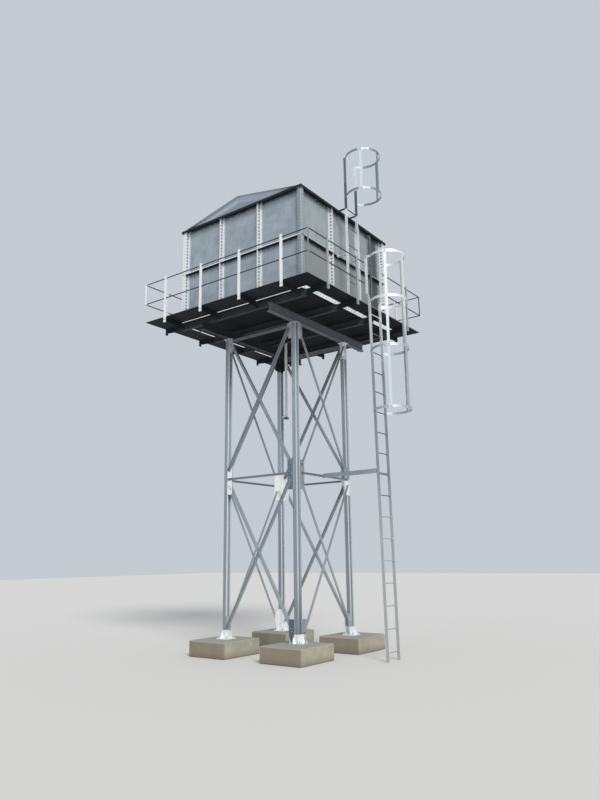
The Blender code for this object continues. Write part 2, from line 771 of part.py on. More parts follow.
def make_cages():
    half = LADDER_WIDTH / 2
    centre = (stileX + cageDepth, LADDER_OFFSET)
    pieces = []
    for offset in HOOP_LEVELS:
        level = deckTop + offset
        lean, spread = ladder_shift(level + HOOP_WIDTH / 2, 1)
        pieces += hoop(level, centre, half + spread, stileX + lean - STILE_WIDTH / 2)
    low = deckTop + HOOP_LEVELS[0] - HOOP_WIDTH / 2
    high = deckTop + HOOP_LEVELS[-1] + HOOP_WIDTH / 2
    for degrees in (-STRAP_ANGLE, 0.0, STRAP_ANGLE):
        pieces.append(strap(centre, degrees, low, high))
    join("ground_ladder_cage", pieces, zinc)
    centre = (tankStileX + cageDepth, TANK_LADDER_OFFSET)
    pieces = []
    for offset in TANK_HOOP_LEVELS:
        pieces += hoop(wallTop + offset, centre, half, tankStileX - STILE_WIDTH / 2)
    low = wallTop + TANK_HOOP_LEVELS[0] - HOOP_WIDTH / 2
    high = wallTop + TANK_HOOP_LEVELS[-1] + HOOP_WIDTH / 2
    for degrees in (-STRAP_ANGLE, 0.0, STRAP_ANGLE):
        pieces.append(strap(centre, degrees, low, high))
    join("tank_ladder_cage", pieces, zinc)


def make_ladder_arm():
    """A bar from the middle strut out to the ladder, with a cross bar behind both stiles."""
    lean = ladder_shift(midLevel, 1)[0]
    start = gussetPlane + GUSSET_THICK + 2 * GAP + MID_STRUT_SIDE
    end = stileX + lean - STILE_WIDTH / 2 - 4 * GAP
    y = LADDER_OFFSET - LADDER_WIDTH / 2
    height = (midLevel - ARM_DEPTH / 2, midLevel + ARM_DEPTH / 2)
    arm = box((start, end), (y - ARM_THICK / 2, y + ARM_THICK / 2), height)
    reach = LADDER_WIDTH / 2 + STILE_THICK
    level = midLevel - ARM_BAR_DROP
    thin = (level - ARM_BAR_DEPTH / 2, level + ARM_BAR_DEPTH / 2)
    bar = box((end - ARM_THICK, end), (LADDER_OFFSET - reach, LADDER_OFFSET + reach), thin)
    join("ladder_arm", [arm, bar], zinc)


def make_pipes():
    top = floorFoot - GAP
    foot = top - OUTLET_LENGTH
    spot = (OUTLET_X, OUTLET_Y)
    pieces = [rod((*spot, foot), (*spot, top), OUTLET_RADIUS, PIPE_SIDES)]
    for low in (foot, top - FITTING_LENGTH):
        pieces.append(rod((*spot, low), (*spot, low + FITTING_LENGTH), FITTING_RADIUS, PIPE_SIDES))
    level = foot + BRANCH_RISE
    pieces.append(rod((*spot, level), (BRANCH_END_X, BRANCH_END_Y, level), BRANCH_RADIUS, PIPE_SIDES))
    join("outlet_pipe", pieces, zinc)
    x = flangeTip + OVERFLOW_CLEAR + OVERFLOW_RADIUS
    z = wallTop - OVERFLOW_DROP
    bend = OVERFLOW_BEND
    route = [(tankHalf + SHEET + GAP, OVERFLOW_Y, z)]
    for i in range(5):
        turn = math.pi / 2 * i / 4
        route.append((x - bend + bend * math.sin(turn), OVERFLOW_Y, z - bend + bend * math.cos(turn)))
    route.append((x, OVERFLOW_Y, deckTop + GAP))
    join("overflow_pipe", [pipe(route, OVERFLOW_RADIUS, PIPE_SIDES)], zinc)


clear_scene()
tower = make_collection("water_tower")
zinc = make_material("zinc", (0.52, 0.55, 0.57), 0.45, 0.7)
sheet_metal = make_material("sheet_metal", (0.40, 0.44, 0.46), 0.5, 0.6)
primer = make_material("primer", (0.10, 0.10, 0.11), 0.6, 0.3)
plate_steel = make_material("plate_steel", (0.12, 0.13, 0.14), 0.6, 0.5)
concrete = make_material("concrete", (0.36, 0.31, 0.24), 0.9, 0.0)

make_plinths()
make_legs()
make_bracing()
make_beams()
make_floor()
make_walls()
make_roof()
make_walkways()
make_handrails()
make_ground_ladder()
make_tank_ladder()
make_cages()
make_ladder_arm()
make_pipes()
for item in tower.objects:
    item.location.x -= (leftEdge + rightEdge) / 2
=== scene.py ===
import math
from types import SimpleNamespace

import bmesh
import bpy
import numpy as np
from mathutils import Matrix, Vector


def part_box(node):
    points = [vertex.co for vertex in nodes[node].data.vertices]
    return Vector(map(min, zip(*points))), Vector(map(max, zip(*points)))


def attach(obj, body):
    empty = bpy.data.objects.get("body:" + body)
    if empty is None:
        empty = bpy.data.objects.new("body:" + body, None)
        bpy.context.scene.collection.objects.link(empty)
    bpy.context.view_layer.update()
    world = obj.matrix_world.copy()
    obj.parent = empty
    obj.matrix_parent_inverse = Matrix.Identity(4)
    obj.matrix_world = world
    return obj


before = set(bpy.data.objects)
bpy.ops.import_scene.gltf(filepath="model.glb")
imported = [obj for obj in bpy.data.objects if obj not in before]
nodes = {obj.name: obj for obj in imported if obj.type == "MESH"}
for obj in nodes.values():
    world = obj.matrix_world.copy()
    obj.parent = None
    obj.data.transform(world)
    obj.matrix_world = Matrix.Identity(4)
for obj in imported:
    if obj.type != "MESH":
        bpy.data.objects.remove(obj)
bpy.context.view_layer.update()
print("frame loaded:", len(nodes), "nodes")

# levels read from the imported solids
floorLow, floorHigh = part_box("tank_floor")
wallLow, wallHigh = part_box("tank_wall_front")
legLow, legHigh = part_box("leg_front_left")
axisX = (floorLow.x + floorHigh.x) / 2  # the tower's own middle
rimTop = wallLow.z + 0.080
wallTop = wallHigh.z
wallMid = wallTop - 1.005
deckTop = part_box("walkway_front")[1].z
legFoot = legLow.z
legTop = legHigh.z
midLevel = legFoot + 3.02

# lines of the solids, outwards or along a side from the tower's middle
legLine = 0.86
sheetFace = 1.506
flangeTip = 1.575
ledge = 0.012  # a level flange, and half of the pair at the middle
panelLines = np.array([-1.5, -0.5, 0.5, 1.5])
flangeLines = np.clip(panelLines, -1.4917, 1.4917)  # the end ones stand inside the corners
sideTurns = {"front": 0.0, "right": 90.0, "back": 180.0, "left": 270.0}
corners = [(sx, sy) for sx in (-1, 1) for sy in (-1, 1)]
tiers = ((rimTop, wallMid - ledge), (wallMid + ledge, wallTop - ledge))
up = np.array([0.0, 0.0, 1.0])

joint = {
    "pitch": 0.07204, "bolts": 28,  # up each flange, in one row for both tiers
    "boltLine": 1.534, "flangeHalf": 0.008, "head": (0.024, 0.012),  # across flats, height
    "levelBolts": 42, "levelBoltLine": 1.548, "clear": 0.03,  # of the upright flanges
    "band": 0.072, "bandRoot": 0.0083, "proud": 0.012,  # the thickened sheet beside a flange
    "cornerOuter": 1.5735, "cornerInner": 1.5675, "cornerFoot": 1.5003,
    "cornerBoltLine": 1.522, "cornerHead": (0.022, 0.008),
    "rimPitch": 0.1, "rimBolts": 31, "rimHead": (0.022, 0.004),
}
firstBolt = rimTop + 0.026
boltLevels = firstBolt + joint["pitch"] * np.arange(joint["bolts"])
flangeFaces = [  # both faces of each upright flange, but none inside the corner angles
    (middle, way) for middle in flangeLines for way in (-1.0, 1.0)
    if abs(middle) < 1 or way * middle < 0]


def hexColour(code):
    # sRGB hex to linear: the low end divided by 12.92, the rest a power of 2.4
    values = [int(code[i:i + 2], 16) / 255 for i in (0, 2, 4)]
    return tuple(
        v / 12.92 if v <= 0.04045 else ((v + 0.055) / 1.055) ** 2.4 for v in values) + (1.0,)


def addNode(look, kind, inputs=None, out=0, **settings):
    # one node with its settings and links; gives back the output that the next one reads
    node = look.tree.nodes.new("ShaderNode" + kind)
    for name, value in settings.items():
        setattr(node, name, value)
    for name, value in (inputs or {}).items():
        if isinstance(value, bpy.types.NodeSocket):
            look.tree.links.new(value, node.inputs[name])
        else:
            node.inputs[name].default_value = value
    return node.outputs[out] if node.outputs else node


def startMaterial(name, metallic, roughness):
    # an empty material with its shader, and what masks read: the place from the tower's own
    # middle, how far out from it (the larger of the two plan distances), the way a face looks, and
    # that as ranges for the faces that look to the right, to the front, down, level and up
    material = bpy.data.materials.new(name)
    material.use_nodes = True
    look = SimpleNamespace(material=material, tree=material.node_tree)
    look.tree.nodes.clear()
    look.shader = addNode(
        look, "BsdfPrincipled", {"Metallic": metallic, "Roughness": roughness}).node
    addNode(look, "OutputMaterial", {"Surface": look.shader.outputs["BSDF"]})
    coords = addNode(look, "TexCoord", out="Object")
    look.place = addNode(look, "Mapping", {"Vector": coords, "Location": (-axisX, 0.0, 0.0)})
    look.x, look.y, look.z = addNode(look, "SeparateXYZ", {0: look.place}).node.outputs
    normal = addNode(look, "NewGeometry", out="Normal")
    look.nx, look.ny, look.nz = addNode(look, "SeparateXYZ", {0: normal}).node.outputs
    look.ax = addNode(look, "Math", {0: look.x}, operation="ABSOLUTE")
    look.ay = addNode(look, "Math", {0: look.y}, operation="ABSOLUTE")
    look.reach = addNode(look, "Math", {0: look.ax, 1: look.ay}, operation="MAXIMUM")
    look.toRight, look.toFront = (look.nx, 0.5, 1.1), (look.ny, -1.1, -0.5)
    look.downward, look.upright, look.upward = (
        (look.nz, low, high) for low, high in ((-1.1, -0.5), (-0.5, 0.5), (0.5, 1.1)))
    return look


def product(look, share, *others):
    # shares multiplied together
    for other in others:
        share = addNode(look, "Math", {0: share, 1: other}, operation="MULTIPLY")
    return share


def within(look, *limits):
    # one inside every range given as (what, low, high), nought outside: the ranges' product
    return product(look, *[
        addNode(look, "Math", {0: what, 1: (low + high) / 2, 2: (high - low) / 2},
                operation="COMPARE")
        for what, low, high in limits])


def coat(look, *coats):
    # colours laid one over another, each as (share, hex); several shares in one are multiplied
    for share, code in coats:
        if isinstance(share, tuple):
            share = product(look, *share)
        look.colour = addNode(look, "Mix", {0: share, 6: look.colour, 7: hexColour(code)},
                              out=2, data_type="RGBA")


def finish(look, height=None, strength=0.12, distance=0.002):
    # the finished colour and surface relief go to the shader
    if height is None:
        height = addNode(look, "TexNoise", {"Vector": look.place, "Scale": 160.0, "Detail": 3.0})
    bump = addNode(look, "Bump", {"Strength": strength, "Distance": distance, "Height": height})
    look.tree.links.new(bump, look.shader.inputs["Normal"])
    look.tree.links.new(look.colour, look.shader.inputs["Base Color"])
    return look.material


def around(along, out, height, turn):
    # points given along a side, out from the middle and up, turned to that side of the tower
    along, out, height = np.broadcast_arrays(
        np.asarray(along, float), np.asarray(out, float), np.asarray(height, float))
    c, s = math.cos(math.radians(turn)), math.sin(math.radians(turn))
    return np.stack([along * c + out * s + axisX, along * s - out * c, height], axis=-1)


def facing(along, out, height, turn):
    # a direction turned as a side's points are
    return around(along, out, height, turn) - np.array([axisX, 0.0, 0.0])


def spread(count, pitch):
    # places at a steady pitch, centred on nought
    return pitch * (np.arange(count) - (count - 1) / 2)


def addObject(name, data):
    # a new object in the scene, at the origin until it is placed
    added = bpy.data.objects.new(name, data)
    bpy.context.scene.collection.objects.link(added)
    return added


def buildPiece(name, parts, material):
    # sets of points and faces as one object at the origin, its closed shells turned outwards
    points, faces, count = [], [], 0
    for some, own in parts:
        some = np.asarray(some, float).reshape(-1, 3)
        points.append(some)
        faces += [[v + count for v in face] for face in own]
        count += len(some)
    mesh = bpy.data.meshes.new(name)
    mesh.from_pydata(np.concatenate(points).tolist(), [], faces)
    shape = bmesh.new()
    shape.from_mesh(mesh)
    bmesh.ops.recalc_face_normals(shape, faces=shape.faces[:])
    shape.to_mesh(mesh)
    shape.free()
    mesh.materials.append(material)
    piece = addObject(name, mesh)
    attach(piece, "root")


def sweep(stops, closed=False):
    # a profile already placed at each stop, an array of (stops, profile points, 3): quads join
    # each stop to the next, and the two ends are closed unless the path is
    number, count = stops.shape[:2]
    i = np.arange(count)
    a = np.arange(number if closed else number - 1)[:, None] * count
    b = (a + count) % (number * count)
    j = (i + 1) % count
    faces = np.stack([a + i, a + j, b + j, b + i], -1).reshape(-1, 4).tolist()
    if not closed:
        faces += [i[::-1].tolist(), (i + (number - 1) * count).tolist()]
    return stops, faces


def carriedUp(along, out, low, high, turn):
    # a profile on one side of the tower, carried up from a low to a high level
    return sweep(np.stack([around(along, out, level, turn) for level in (low, high)]))


def hexHeads(places, outward, size):
    # bolt heads: a hexagon carried up from 2 mm inside the surface to the shoulder, then in over a
    # chamfer to a flat top; its radius is the width over flats by root three
    outward = np.asarray(outward, float)
    first = np.cross(outward, (1.0, 0.0, 0.0) if abs(outward[2]) > 0.9 else up)
    first /= np.linalg.norm(first)
    second = np.cross(outward, first)
    turn = np.arange(6)[:, None] * math.pi / 3
    across, height = size
    radius = across / math.sqrt(3)
    profile = np.array([(radius, -0.002), (radius, height * 0.72), (radius * 0.8, height)])
    ring = profile[:, :1, None] * (np.cos(turn) * first + np.sin(turn) * second)
    lift = profile[:, 1:, None] * outward
    return [sweep(place + ring + lift) for place in np.asarray(places, float).reshape(-1, 3)]


def sideHeads(along, out, height, turn, size, way=1.0):
    # bolt heads on one side of the tower that look outwards, or inwards where way is -1
    return hexHeads(around(along, out, height, turn), facing(0.0, way, 0.0, turn), size)


bpy.context.scene.view_settings.view_transform = "Standard"  # hex colours come out as given

view = {
    "place": (8.4552, -10.9735, 1.760),  # from the tower's middle
    "yaw": 0.6375,
    "pitch": 0.2284,
    "roll": -0.0132,
    "focal": 681.87,  # in pixels of the picture
    "height": 800,  # of the picture
    "sensor": 36.0,
}


def makeCamera():
    # ahead from yaw and pitch, right level, then both turned by the roll
    yaw, pitch, roll = view["yaw"], view["pitch"], view["roll"]
    ahead = Vector((
        -math.sin(yaw) * math.cos(pitch), math.cos(yaw) * math.cos(pitch), math.sin(pitch)))
    right = Vector((math.cos(yaw), math.sin(yaw), 0.0))
    above = right.cross(ahead)
    right, above = (
        right * math.cos(roll) + above * math.sin(roll),
        above * math.cos(roll) - right * math.sin(roll))
    data = bpy.data.cameras.new("photoView")
    data.sensor_fit = "AUTO"
    data.sensor_width = view["sensor"]
    data.lens = view["focal"] / view["height"] * view["sensor"]
    data.clip_end = 500.0
    camera = addObject("photoView", data)
    placed = Matrix((right, above, -ahead)).transposed().to_4x4()
    placed.translation = Vector(view["place"]) + Vector((axisX, 0.0, 0.0))
    camera.matrix_world = placed
    bpy.context.scene.camera = camera


light = {
    "sky": "dfe6ee",
    "skyStrength": 0.75,
    "sunStrength": 2.4,
    "sunAngle": 18.0,  # degrees across, so the shadows are soft
    "sunFrom": (0.80, -0.57, 0.70),
    "floor": "d6d3cd",
    "floorReach": 60,
}


def makeStage():
    # an even pale sky, one soft sun and a plain pale floor
    world = bpy.data.worlds.new("paleStudio")
    bpy.context.scene.world = world
    world.use_nodes = True
    background = world.node_tree.nodes["Background"]
    background.inputs["Color"].default_value = hexColour(light["sky"])
    background.inputs["Strength"].default_value = light["skyStrength"]
    data = bpy.data.lights.new("softSun", "SUN")
    data.energy = light["sunStrength"]
    data.angle = math.radians(light["sunAngle"])
    sun = addObject("softSun", data)
    sun.rotation_euler = Vector(light["sunFrom"]).to_track_quat("Z", "Y").to_euler()
    look = startMaterial("paleFloor", 0.0, 0.9)
    look.shader.inputs["Base Color"].default_value = hexColour(light["floor"])
    far = light["floorReach"]
    mesh = bpy.data.meshes.new("floor")
    mesh.from_pydata(
        [(-far, -far, 0), (far, -far, 0), (far, far, 0), (-far, far, 0)], [], [(0, 1, 2, 3)])
    mesh.materials.append(look.material)
    addObject("floor", mesh)


makeCamera()
makeStage()
print("camera, light and floor set")


def patches(look, scale, detail, roughness, low, high, most=1.0, place=None):
    # a noise, and from it the share of soft patches: nought up to a low value of the noise, rising
    # to the most at a high one
    noise = addNode(look, "TexNoise", {
        "Vector": place or look.place, "Scale": scale, "Detail": detail, "Roughness": roughness})
    return noise, addNode(look, "MapRange", {
        "Value": noise, "From Min": low, "From Max": high, "To Max": most})


def zincFinish(name, pale, dull, dirt, dirtShare, metallic, roughness):
    # Hot dipped galvanised steel, weathered: a dull zinc patina in soft patches 200 mm across,
    # faint crystals (spangle) drawn 12 mm across, and rain streaks some 40 mm wide that carry dirt
    look = startMaterial(name, metallic, roughness)
    look.colour = hexColour(pale)
    coat(look, (patches(look, 5.0, 4.0, 0.6, 0.35, 0.68)[1], dull))
    spangle = addNode(look, "TexVoronoi", {"Vector": look.place, "Scale": 85.0}, out="Color")
    look.colour = addNode(look, "Mix", {0: 0.08, 6: look.colour, 7: spangle}, out=2,
                          data_type="RGBA", blend_type="SOFT_LIGHT")
    drawn = addNode(look, "Mapping", {"Vector": look.place, "Scale": (1.0, 1.0, 0.10)})
    look.streaks, carried = patches(look, 22.0, 5.0, 0.6, 0.48, 0.75, dirtShare, drawn)
    look.wobble = addNode(look, "TexNoise", {"Vector": look.place, "Scale": 14.0, "Detail": 3.0})
    coat(look, (carried, dirt))
    return look


def nearBolts(look, start, end):
    # share of a soft ring round each bolt of an upright row: one up to the first distance from the
    # nearest bolt, nought from the second on, because a range given backwards falls
    along = addNode(look, "Math", {
        0: addNode(look, "Math", {0: look.z, 1: firstBolt}, operation="SUBTRACT"),
        1: joint["pitch"] / 2}, operation="PINGPONG")
    aside = addNode(look, "Math", {0: look.reach, 1: joint["boltLine"]}, operation="SUBTRACT")
    both = addNode(look, "CombineXYZ", {0: along, 1: aside})
    away = addNode(look, "VectorMath", {0: both}, out="Value", operation="LENGTH")
    return addNode(look, "MapRange", {"Value": away, "From Min": end, "From Max": start})


def besideLine(look, along):
    # distance to the nearest panel line: folded about 1 m, then about the line half a metre off
    for middle in (1.0, 0.5):
        along = addNode(look, "Math", {
            0: addNode(look, "Math", {0: along, 1: middle}, operation="SUBTRACT")},
            operation="ABSOLUTE")
    return along


def makePanelSheet():
    # Galvanised panel sheet, hot dipped and then bolted up: dull blue-grey sheets that rain has
    # streaked brown on the ladder side, turned edges that stay bright, and painted shade in corners
    look = zincFinish("hotDippedPanelSheet", "9fa9b1", "8a949d", "7c858b", 0.30, 0.12, 0.6)
    sunny = within(look, look.toRight)
    drawn = addNode(look, "Mapping", {"Vector": look.place, "Scale": (1.0, 1.0, 0.35)})
    brown = patches(look, 6.0, 5.0, 0.65, 0.45, 0.72, 0.8, drawn)[1]
    drips = addNode(look, "MapRange", {
        "Value": look.streaks, "From Min": 0.56, "From Max": 0.40, "To Max": 0.35})
    level = addNode(look, "Math", {0: look.wobble, 1: 0.12, 2: look.z}, operation="MULTIPLY_ADD")
    low = addNode(look, "MapRange", {
        "Value": level, "From Min": rimTop + 0.45, "From Max": rimTop + 0.08})
    # painted shade makes the sheets that look to the ladder side a little darker; their lower tier
    # is darker again
    coat(
        look, (sunny, "9aa3a8"),
        (within(look, look.toRight, (look.z, 0.0, wallMid)), "888e90"),
        ((sunny, brown), "87837b"), ((drips, low), "c2ccd3"),
    )
    # painted shadow hangs below the roof edge and the middle ledge, and dies out downwards
    wave = 0.06  # the wobble's mean height
    for top, depth, strength in ((wallTop - ledge, 0.085, 0.9), (wallMid - ledge, 0.035, 0.6)):
        fade = addNode(look, "MapRange", {
            "Value": level, "From Min": top + wave - depth, "From Max": top + 0.05,
            "To Max": strength})
        coat(look, ((fade, within(look, (look.z, top - 0.3, top))), "20272b"))
    # a dark upright band below the overflow pipe on the ladder side
    aside = addNode(look, "Math", {
        0: addNode(look, "Math", {0: look.wobble, 1: 0.12, 2: look.y}, operation="MULTIPLY_ADD"),
        1: 1.20}, operation="SUBTRACT")
    darkBand = addNode(look, "MapRange", {
        "Value": addNode(look, "Math", {0: aside}, operation="ABSOLUTE"),
        "From Min": 0.21, "From Max": 0.13, "To Max": 0.85})
    coat(look, ((darkBand, sunny), "2a2d2e"))
    # turned edges and rim: bright, with painted shade making them a little greyer towards the
    # ladders and at the near corner
    proud = (look.reach, sheetFace + 0.0006, 1.7)
    outside = within(look, proud)
    nearCorner = ((look.x, 1.45, 1.7), (look.y, -1.7, -1.45))
    cleaner = addNode(look, "MapRange", {
        "Value": look.wobble, "From Min": 0.25, "From Max": 0.45, "To Min": 0.8})
    coat(
        look, ((outside, cleaner), "e6eaec"),
        (within(look, proud, look.toRight), "d2d4d2"),
        (within(look, *nearCorner), "8b959d"),
        (within(look, *nearCorner, look.toRight), "969fa3"),
        (within(look, (look.x, 1.566, 1.7), (look.y, -1.7, -1.566), (look.nz, -0.4, 0.4)),
         "bac2c7"),
    )
    # painted shade round the bolts and in the crease at the root of the upright flanges
    bolts = nearBolts(look, 0.012, 0.024)
    upright = within(look, proud, (look.nz, -0.3, 0.3))
    root = addNode(look, "MapRange", {
        "Value": look.reach, "From Min": sheetFace + 0.020, "From Max": sheetFace,
        "To Max": 0.5})
    coat(look, ((upright, bolts, 0.75), "3b4145"), ((upright, root), "4c5357"))
    # the ledge: bright edge at the front; painted shade on the ladder side below a thin pale upper
    # edge, on the top flange, on the lower half of the middle ledge and on every face that looks
    # down
    edge = ledge + 0.0005
    coat(
        look,
        (within(look, *nearCorner, (look.z, wallMid - 0.004, wallMid + edge), look.toFront),
         "e6eaec"),
        (within(look, (look.z, wallMid - edge, wallMid + 0.004), look.toRight,
                (look.x, 1.57, 1.7)), "3c3f40"),
        (within(look, (look.z, wallTop - edge, wallTop + 0.1)), "262c30"),
        (within(look, (look.z, wallMid - edge, wallMid - 0.004), (look.reach, 1.5, 1.7)),
         "2f3538"),
        (within(look, look.downward), "171b1e"),
        (within(look, (look.z, wallLow.z - 0.01, rimTop), look.upright), "eceee9"),
    )
    # the blind socket: a ring of pale sealant round it and a dark mouth of painted shade
    socket = addNode(look, "VectorMath", {0: look.place, 1: (1.52, -1.0, wallTop - 0.085)},
                     out="Value", operation="DISTANCE")
    onSheet = (look.x, 1.5, 1.53)
    mouth = within(look, (socket, 0.0, 0.034), onSheet)
    coat(look, (within(look, (socket, 0.030, 0.056), onSheet), "a9b1b5"), (mouth, "15181a"))
    return finish(look)


def makeLegSteel():
    # Galvanised rolled sections with welded plates: blue-grey flanges, webs and sideways edges lit
    # with painted light, and plates that took a brighter coat where the zinc pooled
    look = zincFinish("galvanisedRolledSection", "9ba4ae", "8f98a2", "727a82", 0.35, 0.25, 0.45)
    offX = addNode(look, "Math", {0: look.ax, 1: legLine}, operation="SUBTRACT")
    offY = addNode(look, "Math", {0: look.ay, 1: legLine}, operation="SUBTRACT")
    column = ((offX, -0.0502, 0.0502), (offY, -0.0502, 0.0502))
    side = addNode(look, "Math", {
        0: offX, 1: addNode(look, "Math", {0: look.x}, operation="SIGN")}, operation="MULTIPLY")
    plates = addNode(look, "Math", {0: 1.0, 1: within(look, *column)}, operation="SUBTRACT")
    low = addNode(look, "MapRange", {
        "Value": look.z, "From Min": 4.4, "From Max": 2.6, "To Max": 0.9})
    splashed = addNode(look, "MapRange", {
        "Value": look.z, "From Min": 1.4, "From Max": 0.5, "To Max": 0.85})
    acrossX = addNode(look, "Math", {0: look.nx}, operation="ABSOLUTE")
    left, right = (look.x, -1.2, 0.0), (look.x, 0.0, 1.2)
    front, back = (look.y, -1.2, 0.0), (look.y, 0.0, 1.2)
    foot = (look.z, legFoot - 0.1, legFoot + 0.165)
    middle = (look.z, midLevel - 0.31, midLevel + 0.26)
    head = (look.z, legTop - 0.36, legTop)
    lapped = (look.z, legFoot + 0.1, midLevel + 0.3)
    web = (*column, look.toFront, (offY, -0.045, 0.045))
    sunwardHighlight = ((side, 0.032, 0.051), look.toFront, (offY, -0.0515, 0.0515), (offX, -0.051, 0.051))
    inward, onFace = (-0.2, -0.0379), (0.046, 0.07)  # a plate's reach and its place on a flange
    coat(
        look,
        ((low, within(look, *column)), "8d9499"),
        # painted light on the inner face of the far flange, the web and the flange edges, less of
        # it low down
        (within(look, *web), "a4acb3"),
        ((low, within(look, *web)), "929aa1"),
        (within(look, *column, (acrossX, 0.5, 1.1)), "b3babf"),
        # a painted highlight along the sunward edge of each front flange
        (within(look, *sunwardHighlight), "eef2f5"), (within(look, right, front, *sunwardHighlight), "d3dadf"),
        # painted light on the back left leg, pale against its shade, and the near leg, splashed low
        # down
        ((0.6, within(look, left, back, *column, (look.z, midLevel + 0.26, legTop))), "bcc7d2"),
        ((splashed, within(look, right, front, *column)), "7d858c"),
        # middle plates: the front left one, and both back legs between plate and strut
        (within(look, left, front, middle, (offX, *inward), look.toFront), "eef1f1"),
        (within(look, left, back, middle), "f2f4f2"),
        (within(look, right, back, (look.z, midLevel - 0.31, midLevel + 0.02)), "eceeec"),
        # heads: painted light pales their plates; painted shade from the deck blacks the back left
        # one, and painted light whitens the back right one
        ((plates, within(look, (look.z, legTop - 0.33, legTop))), "b4b6bb"),
        (within(look, left, back, head), "38414b"),
        (within(look, right, back, head), "eef1f2"),
        ((plates, within(look, (look.z, legFoot + 0.165, legFoot + 0.5))), "a4acb4"),
        # the near leg's plates: the front one dark with painted shade, the other pale
        (within(look, right, front, (offX, *inward), (offY, *onFace), lapped), "687483"),
        (within(look, right, front, (offX, *onFace), (offY, *inward), lapped), "8b9297"),
        # feet: white fan plates, duller at their outer ends, and one near plate dark with painted
        # shade
        (within(look, foot), "eceeee"),
        (within(look, right, front, foot), "b0b5b7"),
        (within(look, right, front, foot, (offX, -0.095, 0.105), (offY, -0.095, 0.095)),
         "eceeee"),
        (within(look, left, back, (look.z, legFoot, legFoot + 0.44)), "eceeee"),
        (within(look, right, front, (offX, -0.2, -0.0505), (offY, *onFace),
                (look.z, legFoot + 0.017, legFoot + 0.5)), "5c666f"),
    )
    return finish(look)


def makeBraceSteel():
    # Galvanised angle: blue-grey up in the air, bleached paler where ground dust settles low down
    look = zincFinish("galvanisedAngle", "969ea8", "8a929b", "687078", 0.35, 0.3, 0.45)
    bleached = addNode(look, "MapRange", {
        "Value": look.z, "From Min": 3.4, "From Max": 2.0, "To Max": 0.5})
    tan = addNode(look, "MapRange", {
        "Value": look.z, "From Min": 5.0, "From Max": 6.2, "To Max": 0.6})
    coat(look, (bleached, "a3acb1"), ((tan, within(look, look.toFront)), "9a9896"))
    return finish(look)


def makeMidStrutSteel():
    # Galvanised angle halfway up: pale blue-grey towards the light, dark on the two shaded sides
    look = zincFinish("galvanisedStrutAngle", "a1a9b2", "959da6", "6d757d", 0.3, 0.3, 0.45)
    for shaded in ((look.y, 0.88, 1.0), (look.x, -1.0, -0.88)):
        coat(look, (within(look, shaded), "5f6873"))
    return finish(look)


def makeRailSteel():
    # Galvanised posts, still bright except on the ladder side, where they are greyer, and thin
    # rails dark with painted shade, as they show against the sky
    look = zincFinish("galvanisedHandrail", "3f4859", "39414f", "31373f", 0.25, 0.2, 0.5)
    railLine = (2.08, 2.2)
    masks = []
    for across, along in ((look.ay, look.ax), (look.ax, look.ay)):
        aside = besideLine(look, along)
        masks.append((
            within(look, (across, *railLine), (aside, -1.0, 0.0252)),
            within(look, (across, *railLine), (aside, 0.0085, 0.0225),
                   (look.z, deckTop - 0.080, deckTop - 0.062))))
    posts, dots = (
        addNode(look, "Math", {0: one, 1: other}, operation="MAXIMUM")
        for one, other in zip(*masks))
    ladderSide = within(look, (look.x, *railLine), (look.y, -2.05, 2.05))
    coat(
        look, (posts, "eceeee"), ((posts, ladderSide), "a5a6a2"),
        # painted shade on the faces that look to the front on the ladder side
        (within(look, (look.x, *railLine), (look.y, -2.05, 1.2), look.toFront,
                (look.ay, 0.4, 1.6)), "8d9190"),
        (within(look, (look.x, -2.2, -2.05), (look.y, -2.2, -2.05), look.upright), "eceeee"),
        (dots, "3a3d3f"),
        (within(look, (look.x, *railLine), (look.y, -2.2, -2.05)), "7f8688"),
    )
    return finish(look)


def makeLadderSteel():
    # Galvanised flat bar and round rungs: whitish above the walkway, blue-grey below it, and pale
    # again near the ground; painted shade darkens the tank ladder against the sky
    look = zincFinish("galvanisedLadderBar", "eceeee", "d9dddf", "a0a8ac", 0.2, 0.25, 0.4)
    down = addNode(look, "MapRange", {
        "Value": look.z, "From Min": deckTop - 1.4, "From Max": deckTop - 0.5,
        "To Min": 0.85, "To Max": 0.15})
    dusty = addNode(look, "MapRange", {
        "Value": look.z, "From Min": 2.2, "From Max": 3.2, "To Min": 0.35})
    below = within(look, (look.z, -1.0, deckTop - 0.05), (look.ny, -1.1, 0.5))
    above = within(look, (look.z, wallTop - 0.06, 12.0), (look.y, -0.5, -0.2))
    tankRungs, tankStiles = (look.y, -0.338, 0.028), (look.x, 1.7, 1.9)
    dust = addNode(look, "MapRange", {
        "Value": look.z, "From Min": 3.4, "From Max": 2.4, "To Max": 0.65})
    coat(
        look, ((below, down, dusty), "76818e"), (dust, "959c99"), ((above, 0.9), "4f5c6e"),
        # painted shade: the tank ladder dark against the sky, and its rungs dark against the wall
        (within(look, (look.z, wallTop - 0.06, wallTop + 0.52), tankStiles), "4f5c6e"),
        (within(look, tankRungs, (look.z, wallTop - 0.07, wallTop - 0.03), tankStiles), "39434d"),
        (within(look, tankRungs, (look.z, deckTop, wallTop - 0.1), tankStiles), "6a7074"),
        # rungs of the ground ladder, and the tank ladder's upper clips
        (within(look, (look.y, -0.122, 0.242), (look.z, 2.8, deckTop - 0.3),
                (look.x, 2.08, 2.3)), "59636f"),
        (within(look, (look.z, wallTop - 0.08, wallTop + 0.01), (look.x, 1.5, 1.776)), "2c343d"),
    )
    return finish(look)


